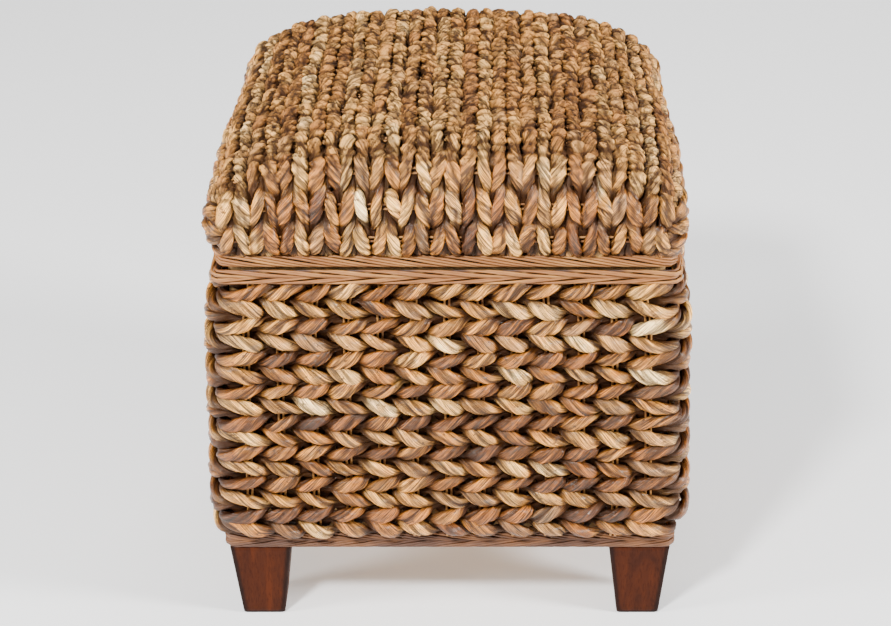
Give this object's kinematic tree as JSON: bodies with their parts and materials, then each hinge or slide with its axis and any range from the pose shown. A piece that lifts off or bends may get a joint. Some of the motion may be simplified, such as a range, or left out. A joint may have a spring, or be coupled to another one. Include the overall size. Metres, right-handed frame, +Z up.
{
  "type": "storage ottoman",
  "caption": "Rope-woven storage ottoman on tapered wooden legs, with a domed woven lid hinged at the back over a deep storage box.",
  "frame": {"origin": "on the floor, under the middle of the body", "axes": "+X to the right seen from the front, the front faces -Y, +Z up"},
  "size_m": [0.46, 0.4, 0.5188],
  "materials": {
    "leg_wood": "satin red-brown stain",
    "frame_wood": "bare softwood, oiled",
    "plywood": "bare plywood",
    "leaf_rope": "glossy dried leaf rope",
    "rattan": "peeled rattan core",
    "steel": "zinc plated"
  },
  "bodies": {
    "body": {"leg_front_left": "leg_wood", "leg_front_right": "leg_wood", "leg_back_left": "leg_wood", "leg_back_right": "leg_wood", "leg_bolts": "steel", "post_front_left": "frame_wood", "post_front_right": "frame_wood", "post_back_left": "frame_wood", "post_back_right": "frame_wood", "top_rail_front": "frame_wood", "top_rail_back": "frame_wood", "top_rail_left": "frame_wood", "top_rail_right": "frame_wood", "bottom_rail_front": "frame_wood", "bottom_rail_back": "frame_wood", "bottom_rail_left": "frame_wood", "bottom_rail_right": "frame_wood", "frame_dowels": "frame_wood", "floor_panel": "plywood", "floor_screws": "steel", "woven_front": "leaf_rope", "woven_back": "leaf_rope", "woven_left": "leaf_rope", "woven_right": "leaf_rope", "stakes_front": "rattan", "stakes_back": "rattan", "stakes_left": "rattan", "stakes_right": "rattan", "body_rim_braid": "rattan", "body_foot_braid": "rattan", "braid_nails": "steel", "hinge_left_base_leaf": "steel", "hinge_right_base_leaf": "steel", "hinge_left_pin": "steel", "hinge_right_pin": "steel", "hinge_base_screws": "steel"},
    "lid": {"hinge_left_lid_leaf": "steel", "hinge_right_lid_leaf": "steel", "hinge_lid_screws": "steel", "lid_rail_front": "frame_wood", "lid_rail_back": "frame_wood", "lid_rail_left": "frame_wood", "lid_rail_right": "frame_wood", "lid_post_front_left": "frame_wood", "lid_post_front_right": "frame_wood", "lid_post_back_left": "frame_wood", "lid_post_back_right": "frame_wood", "lid_board": "plywood", "lid_former_1": "plywood", "lid_former_2": "plywood", "lid_former_3": "plywood", "lid_former_4": "plywood", "lid_former_5": "plywood", "lid_rim_braid": "rattan", "lid_weave": "leaf_rope"}
  },
  "joints": [
    {"name": "lid_hinge", "type": "hinge", "parent": "body", "child": "lid", "pos_m": [0, 0.1955, 0.3894], "axis": [-1, 0, 0], "range_deg": [0, 100]}
  ]
}
